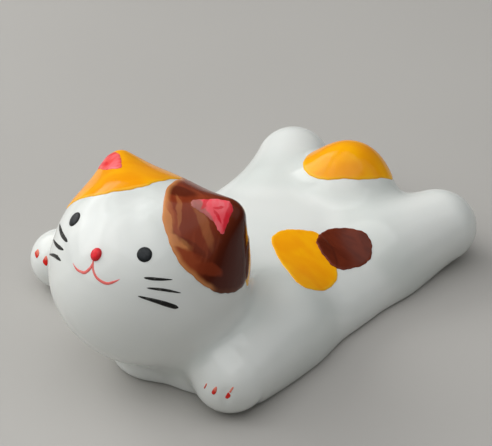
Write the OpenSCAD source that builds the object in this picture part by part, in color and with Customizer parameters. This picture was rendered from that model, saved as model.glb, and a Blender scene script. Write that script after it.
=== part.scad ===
// Chopstick rest: a glazed porcelain calico cat lying flat on its belly.
// Millimetres. +X is towards the head, +Y is the cat's left, +Z is up.
// The origin is on the table, under the middle of the figure.

/* [Body] */
// Length of the body from chest to rump
body_length = 48.5; // [46:0.5:54]
// Width of the body across the flanks
body_width = 37.8; // [35:0.2:40]
// Height of the back, where the sticks lie
back_height = 10.4; // [9.5:0.1:11.5]
// Height at which the flanks are widest
flank_height = 1.7; // [1.2:0.1:2.5]
// How far the middle of the body lies behind the origin
body_setback = 2.3; // [1:0.1:3]
// How much the back dips between head and tail
saddle_dip = 0.7; // [0:0.1:1.2]
// Length of the chest lobe under the head
chest_length = 11.8; // [10:0.2:13]
// Width of the chest lobe between the forelegs
chest_width = 12.8; // [11:0.2:14]
// Height of the chest lobe above its middle
chest_rise = 4.2; // [3.4:0.1:5]
// Thickness of the cast wall of body and head
wall = 2.8; // [2:0.1:3.4]
// Diameter of the firing vent in the belly
vent_diameter = 2.6; // [1.5:0.1:4]

/* [Head] */
// Head size from nose to nape
head_length = 25.3; // [23:0.1:27]
// Head width from cheek to cheek
head_width = 25.7; // [24:0.1:28]
// Head size from chin to crown
head_height = 23.7; // [22:0.1:26]
// Distance of the head centre ahead of the origin
head_forward = 19; // [17:0.1:21]
// Height of the head centre above the table
head_rise = 13.5; // [13:0.1:15]
// Distance of the head centre to the cat's left
head_shift = 0.4; // [0:0.1:1]
// Angle by which the face looks up
head_tilt = 35; // [25:1:45]
// Angle by which the face turns to the cat's left
head_turn = 7; // [-10:1:12]
// Angle by which the head leans over to the cat's left
head_roll_angle = 1.7; // [-3:0.1:4]

/* [Ears] */
// Angle between an ear and the crown
ear_spread = 39; // [34:0.5:45]
// Direction in which an ear leans, from the nose round to the side
ear_azimuth = 77; // [70:1:100]
// Radius of an ear where it starts inside the head
ear_root_radius = 7.2; // [6.4:0.1:7.4]
// Height of an ear from that root to its tip
ear_height = 7; // [6:0.1:7.6]
// How deep the rim of an ear's root lies under the head's face
ear_root_depth = 0.02; // [0.02:0.02:0.6]
// Radius of the rounded ear tip
ear_tip_radius = 2.4; // [1.6:0.1:2.8]
// Thickness of an ear, front to back, as a share of its width
ear_thickness_share = 1; // [0.84:0.02:1.04]

/* [Legs] */
// Radius of the left forepaw seen from above
left_forepaw_radius = 4.9; // [4.3:0.1:5.3]
// Radius of the right forepaw seen from above
right_forepaw_radius = 4.5; // [4:0.1:5.3]
// Radius of a foreleg at the shoulder
shoulder_radius = 6.4; // [5.6:0.1:6.8]
// Radius of a hind foot seen from above
hind_foot_radius = 5.6; // [4.8:0.1:6]
// Radius of a hind leg at the hip
hip_radius = 6.4; // [5.8:0.1:7]
// Height of a leg's middle where it joins the body
leg_root_height = 3.6; // [3:0.1:4.4]
// Height of a leg as a share of its width
leg_height_share = 0.94; // [0.8:0.02:1]
// Depth ground off under each leg so that it sits flat
leg_sink = 0.3; // [0.2:0.1:0.6]
// Radius of the groove between the toes
toe_cleft_radius = 0.35; // [0.25:0.05:0.5]

/* [Tail] */
// Length of the bobtail along the body
tail_length = 12.4; // [11:0.1:14]
// Width of the bobtail
tail_width = 12.2; // [11.5:0.1:14]
// Height of the tail tip above the table
tail_top = 14.7; // [13:0.1:15.6]
// Height of the bobtail's centre above the table
tail_rise = 8.3; // [7.5:0.1:9]
// Distance of the tail centre behind the origin
tail_setback = 22.1; // [20:0.1:24]

/* [Enamel] */
// Thickness of the fired colour over the glaze
enamel = 0.12; // [0.08:0.02:0.2]
// Width of an eye
eye_width = 1.85; // [1.4:0.05:2.2]
// Height of an eye
eye_height = 2.05; // [1.6:0.05:2.4]
// How far an eye bead stands out
eye_relief = 0.28; // [0.2:0.02:0.4]
// Angle from the nose round to the left eye
left_eye_azimuth = 26; // [22:0.5:34]
// Angle from the nose round to the right eye
right_eye_azimuth = 31.5; // [22:0.5:34]
// Angle of the eyes above the middle of the face
eye_elevation = 16.8; // [10:0.1:20]
// Width of the nose bead
nose_width = 1.6; // [1.2:0.05:2]
// How far the nose bead stands out
nose_relief = 0.45; // [0.3:0.05:0.6]
// Angle of the nose above the middle of the face
nose_elevation = 6; // [3:0.1:8]
// Width of the brush line that draws the mouth
mouth_line = 0.3; // [0.2:0.02:0.5]
// Radius of the left half of the smile
left_smile_radius = 1.95; // [1.4:0.05:2.2]
// Height of the left half's centre above the middle of the face
left_smile_rise = 0.55; // [0:0.05:0.9]
// Radius of the right half of the smile
right_smile_radius = 1.3; // [1:0.05:2]
// Height of the right half's centre above the middle of the face
right_smile_rise = -0.15; // [-0.6:0.05:0.6]
// Width of a paw mark
mark_width = 0.55; // [0.4:0.05:0.7]
// Length of a paw mark
mark_length = 1.25; // [0.9:0.05:1.6]

/* [Hidden] */

porcelain = [0.95, 0.96, 0.96];
yellow = [0.95, 0.66, 0.05];
brown = [0.45, 0.18, 0.08];
pink = [0.9, 0.25, 0.33];
red = [0.78, 0.1, 0.1];
charcoal = [0.09, 0.1, 0.1];

round_steps = 120;
fine_steps = 240;
// Longer than the whole figure, for cuts.
reach = 2 * body_length;

// Side of the cat: left is +1, right is -1.
left = 1;
right = -1;

// Leg places: shoulder or hip, then the centre of the paw.
left_shoulder = [6.5, 11.3];
left_forepaw = [18.3, 14.6];
right_shoulder = [7, -11];
right_forepaw = [16, -20.3];
left_hip = [-17.6, 10.6];
left_hind_foot = [-26.7, 13.6];
right_hip = [-17.6, -8.2];
right_hind_foot = [-25.4, -13.4];

// Middle of the chest lobe.
chest_place = [18.4, 1.2, 1.6];

// Toe cleft: angle from the leg's direction, and how it leans back.
toe_cleft_turn = 21;
toe_cleft_tilt = -12;

// Paw marks: angles from the leg's direction, and height up the paw.
left_mark_angles = [-14, 3, 26];
left_mark_climb = 14;
right_mark_angles = [60, 30, 8];
right_mark_climb = 26;
mark_relief_share = 0.3;

// Brush outlines on the head, in the plane that faces one side of it.
// First number towards the back of the head, second number up.
side_azimuth = 60;
side_elevation = 35;
brown_ear_outline = [[-0.6, 9.9], [-3.8, 7.9], [-5.2, 5.2], [-5.7, 1.6], [-4.7, -1.2], [-3.3, -3.1], [-1, -4.7],
  [1.6, -5.3], [4.2, -5.1], [6.5, -4], [8.3, -2.2], [8.6, 1.2], [8.4, 5], [6.6, 8.6], [3.2, 10.6]];
yellow_ear_outline = [[-1.4, 11], [-3.6, 10.4], [-6.3, 8], [-7.4, 5.5], [-6.7, 2], [-5.6, 0.2], [-3.8, -1.7],
  [-2, -3.9], [0.6, -4.8], [3.8, -4.8], [7, -3], [8.6, 0.5], [8.6, 4.5], [6.6, 8.2], [2.8, 10.8]];
lining_outline = [[-1.6, 4.7], [0.3, 5.3], [2, 5.2], [2.3, 3.8], [2, 2.4], [1.7, 1.3], [0.7, 1.7], [-0.7, 3.2]];
nape_azimuth = 122;
nape_elevation = 20;
nape_outline = [[-4.2, 4.8], [-4.6, 0.4], [-3.6, -3.4], [0, -4], [2.6, -2], [3.2, 1], [1.8, 4.6], [-1.2, 5.8]];

// Brush outlines on the back, seen from above.
yellow_back_outline = [[-2.3, 2.8], [-4, 2.4], [-5.9, 3.3], [-7.3, 4.7], [-8.1, 6.2], [-7.2, 9.6], [-5.2, 12.3],
  [-2, 13.7], [0.5, 13.8], [2.3, 13.1], [2.6, 11.2], [1, 7.8], [-0.6, 4.9]];
brown_back_outline = [[-7.3, 6.7], [-9.1, 6.4], [-11.1, 7.2], [-12.5, 9.2], [-12.8, 11.2], [-12.2, 12.8],
  [-10.8, 13.6], [-8.9, 13.5], [-6.4, 12.8], [-5.2, 11.5], [-5.3, 9.7], [-6.2, 7.8]];

// Direction in which the yellow cap of the tail faces, and how deep it comes down.
tail_cap_azimuth = -132;
tail_cap_elevation = 70;
tail_cap_drop = 1.75;

// Whiskers on each cheek: inner end, outer end, width.
cheek_azimuth = 42;
left_whisker_strokes = [
  [[-2.5, 1.1], [0.8, 2.1], 0.3],
  [[-1.7, 0.1], [2.4, 1], 0.3],
  [[-2.3, -1.2], [2.9, -0.8], 0.52]
];
right_whisker_strokes = [
  [[-3.7, 0.9], [1.9, 1.8], 0.34],
  [[-3.7, -0.2], [1.2, -0.4], 0.3],
  [[-3.8, -1.6], [1, -2], 0.3]
];
stroke_steps = 8;
smile_steps = 16;
smile_start_angle = 180;
smile_end_angle = 336;
outline_steps = 4;

body_steps = 28;
body_half = body_length / 2;
body_front_power = 0.9;
body_side_power = 0.5;
body_height_share = (back_height - flank_height) / (body_width / 2);

function sign_of(v) = v < 0 ? -1 : 1;
function eased(v, power) = sign_of(v) * pow(abs(v), power);

// One point of the turned body profile, from the chest at 0 to the rump at 180.
function body_point(a) =
  let(along = body_half * eased(cos(a), body_front_power),
      round_end = body_width / 2 * eased(sin(a), body_side_power),
      dip = 1 - saddle_dip / (back_height - flank_height) * pow(sin(a), 4))
  [a % 180 == 0 ? 0 : round_end * dip, along];

// Smooth closed curve through a few points.
function curve_mix(a, b, c, d, t) =
  0.5 * (2 * b + (c - a) * t + (2 * a - 5 * b + 4 * c - d) * t * t + (3 * b - a - 3 * c + d) * t * t * t);
function smooth_loop(p, steps) =
  [for (i = [0 : len(p) - 1], s = [0 : steps - 1])
    let(n = len(p))
    curve_mix(p[(i + n - 1) % n], p[i], p[(i + 1) % n], p[(i + 2) % n], s / steps)];

// Above the table only.
module above_table() {
  translate([-reach, -reach, 0]) cube([2 * reach, 2 * reach, reach]);
}

module body_form(extra) {
  grow = [1 + extra / body_half, 1 + 2 * extra / body_width, 1 + extra / (back_height - flank_height)];
  translate([-body_setback, 0, flank_height])
    scale([grow[0], grow[1], grow[2] * body_height_share])
      rotate([0, 90, 0])
        rotate_extrude($fn = round_steps)
          polygon([for (i = [0 : body_steps]) body_point(180 * i / body_steps)]);
}

module chest_form() {
  translate(chest_place)
    scale([chest_length / 2, chest_width / 2, chest_rise])
      sphere(r = 1, $fn = round_steps);
}

module at_head() {
  translate([head_forward, head_shift, head_rise])
    rotate([-head_roll_angle, -head_tilt, head_turn])
      children();
}

module head_form(extra) {
  at_head()
    scale([head_length / 2 + extra, head_width / 2 + extra, head_height / 2 + extra])
      sphere(r = 1, $fn = fine_steps);
}

// In the head's frame, turns +Z to a direction on the face and +Y up.
module facing(azimuth, elevation) {
  rotate([0, 90 - elevation, azimuth]) rotate([0, 0, 90]) children();
}

module on_side(side) {
  if (side == left) children();
  else mirror([0, 1, 0]) children();
}

// Profile of a cone with a round tip, from its root at zero to the tip.
function tipped_profile(root, height, tip, steps) =
  let(centre = height - tip,
      turn = atan2(-centre, root) + acos(tip / norm([root, centre])))
  concat([[0, 0], [root, 0]],
    [for (i = [0 : steps]) let(a = turn + (90 - turn) * i / steps)
      [i == steps ? 0 : tip * cos(a), centre + tip * sin(a)]]);

// Distance from the head's centre to its surface in one direction.
function head_surface(azimuth, elevation) =
  1 / norm([
    cos(elevation) * cos(azimuth) / (head_length / 2),
    cos(elevation) * sin(azimuth) / (head_width / 2),
    sin(elevation) / (head_height / 2)]);

ear_steps = 8;

// Two vectors multiplied number by number.
function scaled(v, shares) = [v[0] * shares[0], v[1] * shares[1], v[2] * shares[2]];
function direction(azimuth, elevation) =
  [cos(elevation) * cos(azimuth), cos(elevation) * sin(azimuth), sin(elevation)];

// How far out the root of an ear may lie so that one point of its rim stays in the head.
function root_limit(turn) =
  let(curve = [1 / (head_length / 2 - ear_root_depth), 1 / (head_width / 2 - ear_root_depth),
               1 / (head_height / 2 - ear_root_depth)],
      out = scaled(direction(ear_azimuth, 90 - ear_spread), curve),
      back = scaled(direction(ear_azimuth + 90, 0), curve),
      up = scaled(direction(ear_azimuth + 180, ear_spread), curve),
      rim = ear_root_radius * (cos(turn) * back * ear_thickness_share + sin(turn) * up))
  (sqrt(pow(out * rim, 2) + (out * out) * (1 - rim * rim)) - out * rim) / (out * out);

// Distance of an ear's root from the head's middle: as far out as the whole rim allows.
ear_root_reach = min([for (turn = [0 : 15 : 345]) root_limit(turn)]);

module ear_form(side, extra) {
  at_head() on_side(side)
    facing(ear_azimuth, 90 - ear_spread)
      translate([0, 0, ear_root_reach])
        scale([ear_thickness_share, 1, 1])
          rotate_extrude($fn = round_steps)
            polygon(tipped_profile(ear_root_radius + extra, ear_height + extra, ear_tip_radius + extra, ear_steps));
}

leg_steps = 10;

// Profile of a stub that is round at both ends and tapers between them.
function stub_profile(root, run, tip, steps) =
  let(lean = asin((root - tip) / run))
  concat(
    [for (i = [0 : steps]) let(a = -90 + (90 + lean) * i / steps) [i == 0 ? 0 : root * cos(a), root * sin(a)]],
    [for (i = [0 : steps]) let(a = lean + (90 - lean) * i / steps) [i == steps ? 0 : tip * cos(a), run + tip * sin(a)]]);

// Height of a paw's middle, a little sunk so that the paw is ground flat.
function paw_rise(radius) = radius * leg_height_share - leg_sink;

// A stub round at both ends, from the joint to the paw, lower than wide.
module leg_form(joint, paw, joint_radius, paw_radius, extra) {
  run = paw - joint;
  climb = (paw_rise(paw_radius) - leg_root_height) / leg_height_share;
  axis = norm([norm(run), climb]);
  translate([joint[0], joint[1], leg_root_height])
    rotate([0, 0, atan2(run[1], run[0])])
      scale([1, 1, leg_height_share])
        rotate([0, 90 - atan2(climb, norm(run)), 0])
          rotate_extrude($fn = round_steps)
            polygon(stub_profile(joint_radius + extra, axis, paw_radius + extra, leg_steps));
}

module left_foreleg_form() { leg_form(left_shoulder, left_forepaw, shoulder_radius, left_forepaw_radius, 0); }
module right_foreleg_form() { leg_form(right_shoulder, right_forepaw, shoulder_radius, right_forepaw_radius, 0); }
module left_hind_leg_form() { leg_form(left_hip, left_hind_foot, hip_radius, hind_foot_radius, 0); }
module right_hind_leg_form() { leg_form(right_hip, right_hind_foot, hip_radius, hind_foot_radius, 0); }

module tail_form(extra) {
  translate([-tail_setback, 0, tail_rise])
    scale([tail_length / 2 + extra, tail_width / 2 + extra, tail_top - tail_rise + extra])
      sphere(r = 1, $fn = round_steps);
}

module torso() {
  color(porcelain)
    difference() {
      intersection() {
        union() {
          body_form(0);
          chest_form();
        }
        above_table();
      }
      head_form(0);
      cavity();
      translate([-body_setback, 0, -wall]) cylinder(d = vent_diameter, h = back_height, $fn = round_steps);
    }
}

// The hollow that the slip leaves in the body.
module cavity() {
  intersection() {
    body_form(-wall);
    translate([0, 0, wall]) above_table();
  }
}

module head() {
  color(porcelain)
    difference() {
      head_form(0);
      head_form(-wall);
      cavity();
    }
}

module ear(side) {
  color(porcelain)
    difference() {
      ear_form(side, 0);
      head_form(0);
    }
}
module left_ear() { ear(left); }
module right_ear() { ear(right); }

// Turns +X from the middle of a paw to a direction measured from its leg.
module at_paw(joint, paw, radius, turn) {
  run = paw - joint;
  translate([paw[0], paw[1], paw_rise(radius)])
    rotate([0, 0, atan2(run[1], run[0]) + turn])
      children();
}

// Groove between two toes, low on the front of the paw.
module toe_cleft(joint, paw, radius, turn) {
  at_paw(joint, paw, radius, turn)
    translate([radius, 0, -radius / 2])
      rotate([0, toe_cleft_tilt, 0])
        cylinder(r = toe_cleft_radius, h = radius, center = true, $fn = round_steps);
}

module left_foreleg() {
  color(porcelain)
    difference() {
      intersection() {
        left_foreleg_form();
        above_table();
      }
      body_form(0);
      chest_form();
      head_form(0);
      toe_cleft(left_shoulder, left_forepaw, left_forepaw_radius, toe_cleft_turn);
    }
}

module right_foreleg() {
  color(porcelain)
    difference() {
      intersection() {
        right_foreleg_form();
        above_table();
      }
      body_form(0);
      chest_form();
      head_form(0);
      toe_cleft(right_shoulder, right_forepaw, right_forepaw_radius, -toe_cleft_turn);
    }
}

module left_hind_leg() {
  color(porcelain)
    difference() {
      intersection() {
        left_hind_leg_form();
        above_table();
      }
      body_form(0);
      tail_form(0);
    }
}

module right_hind_leg() {
  color(porcelain)
    difference() {
      intersection() {
        right_hind_leg_form();
        above_table();
      }
      body_form(0);
      tail_form(0);
    }
}

module tail() {
  color(porcelain)
    difference() {
      tail_form(0);
      body_form(0);
    }
}

// Everything on one side of the head that lies behind a brush outline.
module head_brush(azimuth, elevation, outline) {
  facing(azimuth, elevation)
    linear_extrude(height = head_length)
      polygon(smooth_loop(outline, outline_steps));
}

module side_brush(side, outline) {
  at_head() on_side(side) head_brush(side_azimuth, side_elevation, outline);
}

// A skin of colour on an ear and on the head around it.
module ear_skin(side, thickness) {
  difference() {
    union() {
      head_form(thickness);
      ear_form(side, thickness);
    }
    head_form(0);
    ear_form(side, 0);
  }
}

module left_ear_patch() {
  color(brown)
    difference() {
      intersection() {
        ear_skin(left, enamel);
        side_brush(left, brown_ear_outline);
      }
      side_brush(left, lining_outline);
    }
}

module right_ear_patch() {
  color(yellow)
    difference() {
      intersection() {
        ear_skin(right, enamel);
        side_brush(right, yellow_ear_outline);
      }
      side_brush(right, lining_outline);
      side_brush(left, brown_ear_outline);
    }
}

module nape_patch() {
  color(yellow)
    difference() {
      intersection() {
        head_form(enamel);
        at_head() head_brush(nape_azimuth, nape_elevation, nape_outline);
      }
      head_form(0);
      ear_form(left, 0);
      side_brush(left, brown_ear_outline);
    }
}

module ear_lining(side) {
  color(pink)
    difference() {
      intersection() {
        ear_form(side, enamel);
        side_brush(side, lining_outline);
      }
      ear_form(side, 0);
      head_form(0);
    }
}
module left_ear_lining() { ear_lining(left); }
module right_ear_lining() { ear_lining(right); }

module eye(side, azimuth) {
  color(charcoal)
    difference() {
      at_head() on_side(side) facing(azimuth, eye_elevation)
        translate([0, 0, head_surface(azimuth, eye_elevation)])
          scale([eye_width / 2, eye_height / 2, eye_relief])
            sphere(r = 1, $fn = fine_steps);
      head_form(0);
    }
}
module left_eye() { eye(left, left_eye_azimuth); }
module right_eye() { eye(right, right_eye_azimuth); }

// Ball whose cap above the face has the nose's width and relief.
nose_ball = (pow(nose_width / 2, 2) + pow(nose_relief, 2)) / (2 * nose_relief);

module nose_form() {
  at_head() facing(0, nose_elevation)
    translate([0, 0, head_surface(0, nose_elevation) + nose_relief - nose_ball])
      sphere(r = nose_ball, $fn = fine_steps);
}

module nose() {
  color(red)
    difference() {
      nose_form();
      head_form(0);
    }
}

// One half of the smile, as a brush line that thins towards its end.
function smile_half(side, radius, rise) =
  let(band = function(a, out)
    let(thin = mouth_line / 2 * (1 - 0.6 * pow((a - smile_start_angle) / (smile_end_angle - smile_start_angle), 2)))
    [side * (radius + (radius + out * thin) * cos(a)), rise + (radius + out * thin) * sin(a)])
  concat(
    [for (i = [0 : smile_steps]) band(smile_start_angle + (smile_end_angle - smile_start_angle) * i / smile_steps, 1)],
    [for (i = [smile_steps : -1 : 0]) band(smile_start_angle + (smile_end_angle - smile_start_angle) * i / smile_steps, -1)]);

module mouth() {
  color(red)
    difference() {
      intersection() {
        head_form(enamel);
        at_head() facing(0, 0)
          linear_extrude(height = head_length)
            union() {
              polygon(smile_half(left, left_smile_radius, left_smile_rise));
              polygon(smile_half(right, right_smile_radius, right_smile_rise));
            }
      }
      head_form(0);
      nose_form();
    }
}

// A brush stroke that is thin at both ends.
function stroke(from, to, width) =
  let(run = (to - from) / norm(to - from), side = [-run[1], run[0]],
      edge = function(t, out) from + (to - from) * t + side * out * width / 2 * (0.15 + 0.85 * sin(180 * pow(t, 0.8))))
  concat(
    [for (i = [0 : stroke_steps]) edge(i / stroke_steps, -1)],
    [for (i = [stroke_steps : -1 : 0]) edge(i / stroke_steps, 1)]);

module whiskers(side, strokes) {
  color(charcoal)
    difference() {
      intersection() {
        head_form(enamel);
        at_head() on_side(side) facing(cheek_azimuth, 0)
          linear_extrude(height = head_length)
            for (w = strokes) polygon(stroke(w[0], w[1], w[2]));
      }
      head_form(0);
    }
}
module left_whiskers() { whiskers(left, left_whisker_strokes); }
module right_whiskers() { whiskers(right, right_whisker_strokes); }

module back_brush(outline) {
  linear_extrude(height = reach) polygon(smooth_loop(outline, outline_steps));
}

module yellow_back_patch() {
  color(yellow)
    difference() {
      intersection() {
        body_form(enamel);
        back_brush(yellow_back_outline);
      }
      body_form(0);
      back_brush(brown_back_outline);
    }
}

module brown_back_patch() {
  color(brown)
    difference() {
      intersection() {
        body_form(enamel);
        back_brush(brown_back_outline);
      }
      body_form(0);
      left_hind_leg_form();
    }
}

module tail_patch() {
  color(yellow)
    difference() {
      tail_form(enamel);
      tail_form(0);
      body_form(enamel);
      translate([-tail_setback, 0, tail_rise]) facing(tail_cap_azimuth, tail_cap_elevation)
        translate([-reach, -reach, tail_cap_drop - reach])
          cube([2 * reach, 2 * reach, reach]);
    }
}

module paw_marks(joint, paw, radius, turns, climb) {
  color(red)
    difference() {
      for (turn = turns)
        at_paw(joint, paw, radius, turn) rotate([0, -climb, 0])
          translate([radius, 0, 0])
            scale([mark_width * mark_relief_share, mark_width / 2, mark_length / 2])
              sphere(r = 1, $fn = round_steps);
      leg_form(joint, paw, shoulder_radius, radius, 0);
    }
}
module left_paw_marks() {
  paw_marks(left_shoulder, left_forepaw, left_forepaw_radius, left_mark_angles, left_mark_climb);
}
module right_paw_marks() {
  paw_marks(right_shoulder, right_forepaw, right_forepaw_radius, right_mark_angles, right_mark_climb);
}

torso();
head();
left_ear();
right_ear();
left_foreleg();
right_foreleg();
left_hind_leg();
right_hind_leg();
tail();
left_ear_patch();
right_ear_patch();
nape_patch();
left_ear_lining();
right_ear_lining();
left_eye();
right_eye();
nose();
mouth();
left_whiskers();
right_whiskers();
yellow_back_patch();
brown_back_patch();
tail_patch();
left_paw_marks();
right_paw_marks();
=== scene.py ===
# Chopstick rest: a glazed porcelain calico cat lying flat on its belly.
# The glaze is one closed skin over the joined clay forms, and the fired colours lie on it.
# Forms are worked out in millimetres in the part's own frame, and meshes are made in metres.

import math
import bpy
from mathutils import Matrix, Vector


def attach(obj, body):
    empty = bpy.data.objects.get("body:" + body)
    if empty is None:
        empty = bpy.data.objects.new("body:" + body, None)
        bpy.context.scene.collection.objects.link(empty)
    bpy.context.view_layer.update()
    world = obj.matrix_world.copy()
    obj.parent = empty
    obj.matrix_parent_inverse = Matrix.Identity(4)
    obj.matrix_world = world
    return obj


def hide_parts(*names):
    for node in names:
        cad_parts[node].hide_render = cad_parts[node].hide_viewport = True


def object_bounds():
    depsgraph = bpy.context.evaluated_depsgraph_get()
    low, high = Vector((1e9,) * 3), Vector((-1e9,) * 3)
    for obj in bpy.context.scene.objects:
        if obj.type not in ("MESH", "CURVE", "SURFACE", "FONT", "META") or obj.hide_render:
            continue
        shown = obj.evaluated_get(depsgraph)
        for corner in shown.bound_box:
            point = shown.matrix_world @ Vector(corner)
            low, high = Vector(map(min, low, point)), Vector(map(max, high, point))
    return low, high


bl_info = {
    "name": "Calico cat chopstick rest",
    "version": (1, 0, 0),
    "blender": (4, 5, 0),
    "location": "3D View > Sidebar > Chopstick rest",
    "description": "Builds a glazed porcelain chopstick rest with fired enamel markings",
    "category": "Add Mesh",
}

import bpy
import numpy as np
from mathutils import Matrix

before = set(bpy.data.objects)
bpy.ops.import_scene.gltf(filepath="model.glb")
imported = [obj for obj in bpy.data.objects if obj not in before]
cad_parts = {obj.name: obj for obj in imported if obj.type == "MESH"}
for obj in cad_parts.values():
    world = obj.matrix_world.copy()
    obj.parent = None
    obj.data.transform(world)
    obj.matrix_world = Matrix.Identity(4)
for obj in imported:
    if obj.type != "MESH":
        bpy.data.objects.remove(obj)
CAD_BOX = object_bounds()

MM = 0.001
TINY = 1e-9
LEFT, RIGHT = 1, -1  # sides of the cat


# ---------------------------------------------------------------- clay forms

def turned(axis, degrees):
    """Rotation about one axis."""
    return np.array(Matrix.Rotation(math.radians(degrees), 3, axis))


# Sizes and places in millimetres, angles in degrees.
BODY_HALF = 24.25
BODY_SIDE = 18.9
BODY_MIDDLE = -2.3
FLANK_HEIGHT = 1.7
BACK_RISE = 8.7
SADDLE_DIP = 0.7
FRONT_POWER = 0.9

HEAD = np.array([19.0, 0.4, 13.5])
HEAD_RADII = np.array([12.65, 12.85, 11.85])
HEAD_TILT, HEAD_TURN, HEAD_ROLL = 35, 7, -1.7
# Columns point to the nose, the cat's left and the crown.
HEAD_AXES = turned("Z", HEAD_TURN) @ turned("Y", -HEAD_TILT) @ turned("X", HEAD_ROLL)

EAR_AZIMUTH, EAR_ELEVATION = 77, 51
EAR_ROOT, EAR_ROOT_RADIUS, EAR_HEIGHT, EAR_TIP = 9.4, 8.2, 7.0, 2.4
EAR_THICKNESS = 1.14
EAR_FACE_TURN, EAR_FACE_CUT, EAR_RIDGE, EAR_ROOT_EASE = 205, 0.3, 1.0, 3.0

CHEST = np.array([18.4, 1.2, 1.6])
CHEST_RADII = np.array([5.9, 6.4, 4.2])

TAIL = np.array([-22.1, 0, 8.3])
TAIL_RADII = np.array([6.2, 6.1, 6.4])

LEG_ROOT_HEIGHT, LEG_FLATTENING, LEG_SINK = 3.6, 0.94, 0.3
# Joint and paw as seen from above, and the radius at each.
LEGS = {
    "left_foreleg": ((6.5, 11.3), (18.3, 14.6), 6.4, 4.9),
    "right_foreleg": ((7, -11), (16, -20.3), 6.4, 4.5),
    "left_hind_leg": ((-17.6, 10.6), (-26.7, 13.6), 6.4, 5.6),
    "right_hind_leg": ((-17.6, -8.2), (-25.4, -13.4), 6.4, 5.6),
}
CLEFT_TURN, CLEFT_LEAN = 21, -12
CLEFT_ENDS = ((0.35, -4.6), (0.4, 0.2))  # out past the paw, and up
CLEFT_RADIUS, CLEFT_EASE = 0.5, 0.7
VENT_START, VENT_DEPTH, VENT_RADIUS, VENT_EASE = -1.0, 4.5, 1.3, 0.3

# A foreleg's fillet shrinks by this share between these places along the body.
PAW_NARROWING, PAW_NARROWS = 0.6, (15.5, 20)
# The neck's fillet grows by this share between these distances from the middle.
NECK_WIDENING, NECK_WIDENS = 2.6, (3, 9)
LEAST_SLOPE2 = 0.05  # the least square of a slope that a point's step is divided by
RAY_SHARE = 0.9  # share of the distance to the surface that a ray goes in a step


def towards(azimuth, elevation, side=LEFT):
    """A direction from the head's middle and two square to it, in the head's axes."""
    a, e = math.radians(azimuth), math.radians(elevation)
    out = np.array([math.cos(a) * math.cos(e), math.sin(a) * math.cos(e), math.sin(e)])
    back = np.array([-math.sin(a), math.cos(a), 0])
    up = np.cross(out, back)
    flip = np.array([1, side, 1])
    return out * flip, back * flip, up * flip


def ellipsoid(p, radii):
    """Close to the distance to an ellipsoid about the origin."""
    a = np.linalg.norm(p / radii, axis=1)
    b = np.linalg.norm(p / radii**2, axis=1)
    return a * (a - 1) / np.maximum(b, TINY)


def body_form(p):
    """Long low form: rounder than an ellipse across, flatter below than above."""
    along = np.abs(p[:, 0] - BODY_MIDDLE) / BODY_HALF
    power = 2 / FRONT_POWER
    ends = along**power
    dip = 1 - SADDLE_DIP / BACK_RISE * (1 - np.minimum(ends, 1)) ** 2
    low = BACK_RISE / BODY_SIDE
    y = p[:, 1] / dip / BODY_SIDE
    z = (p[:, 2] - FLANK_HEIGHT) / low / dip / BODY_SIDE
    round2 = y * y + z * z
    s = ends + round2 * round2
    slope = np.sqrt(
        (power * along ** (power - 1) / BODY_HALF) ** 2
        + (4 * round2 / BODY_SIDE) ** 2 * (y * y + (z / low) ** 2)
    )
    return (s**0.25 - 1) * 4 * s**0.75 / np.maximum(slope, TINY)


def round_cone(p, a, b, ra, rb):
    """Distance to a stub that is round at both ends."""
    run = b - a
    l2 = run @ run
    taper = ra - rb
    side2 = l2 - taper * taper
    from_a = p - a
    y = from_a @ run
    z = y - l2
    x2 = ((from_a * l2 - np.outer(y, run)) ** 2).sum(axis=1)
    k = np.sign(taper) * taper * taper * x2
    flank = (np.sqrt(x2 * side2 / l2) + y * taper) / l2 - ra
    near = np.sqrt(x2 + y * y * l2) / l2 - ra
    far = np.sqrt(x2 + z * z * l2) / l2 - rb
    at_root = np.where(np.sign(y) * side2 * y * y * l2 < k, near, flank)
    return np.where(np.sign(z) * side2 * z * z * l2 > k, far, at_root)


def paw_height(radius):
    """How high the middle of a paw lies."""
    return radius * LEG_FLATTENING - LEG_SINK


def leg_form(p, joint, paw, joint_radius, paw_radius):
    """A low stub from its joint in the body to its paw."""
    low = np.array([1, 1, LEG_FLATTENING])
    climb = (paw_height(paw_radius) - LEG_ROOT_HEIGHT) / LEG_FLATTENING
    q = (p - [0, 0, LEG_ROOT_HEIGHT]) / low
    return round_cone(q, np.array([*joint, 0.0]), np.array([*paw, climb]), joint_radius, paw_radius)


def ear_form(p, side):
    """A cone with a round tip, thinner front to back and a little flat on its front face."""
    out, back, up = towards(EAR_AZIMUTH, EAR_ELEVATION, side)
    q = (p - HEAD) @ HEAD_AXES
    x, y, z = q @ back / EAR_THICKNESS, q @ up, q @ out - EAR_ROOT
    centre = EAR_HEIGHT - EAR_TIP
    lean = math.acos(EAR_TIP / math.hypot(EAR_ROOT_RADIUS, centre))
    turn = math.atan2(-centre, EAR_ROOT_RADIUS) + lean
    c, s = math.cos(turn), math.sin(turn)
    rho, rise = np.hypot(x, y), z - centre
    flank = rho * c + rise * s - EAR_TIP
    cone = np.where(rise * c - rho * s > 0, np.hypot(rho, rise) - EAR_TIP, flank)
    face = math.radians(EAR_FACE_TURN)
    front = (x * math.cos(face) + y * math.sin(face)) * c + rise * s - EAR_TIP + EAR_FACE_CUT
    return smooth_max(smooth_max(cone, front, EAR_RIDGE), -z, EAR_ROOT_EASE)


def ramp(value, low, high):
    """Rises smoothly from 0 to 1 between two values."""
    t = np.clip((value - low) / (high - low), 0, 1)
    return t * t * (3 - 2 * t)


def smooth_min(a, b, k):
    """Joins two forms with a smooth run of reach k."""
    h = np.maximum(k - np.abs(a - b), 0) / k
    return np.minimum(a, b) - h * h * k / 4


def smooth_max(a, b, k):
    """Keeps what two forms share, with its edge rounded."""
    return -smooth_min(-a, -b, k)


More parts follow.
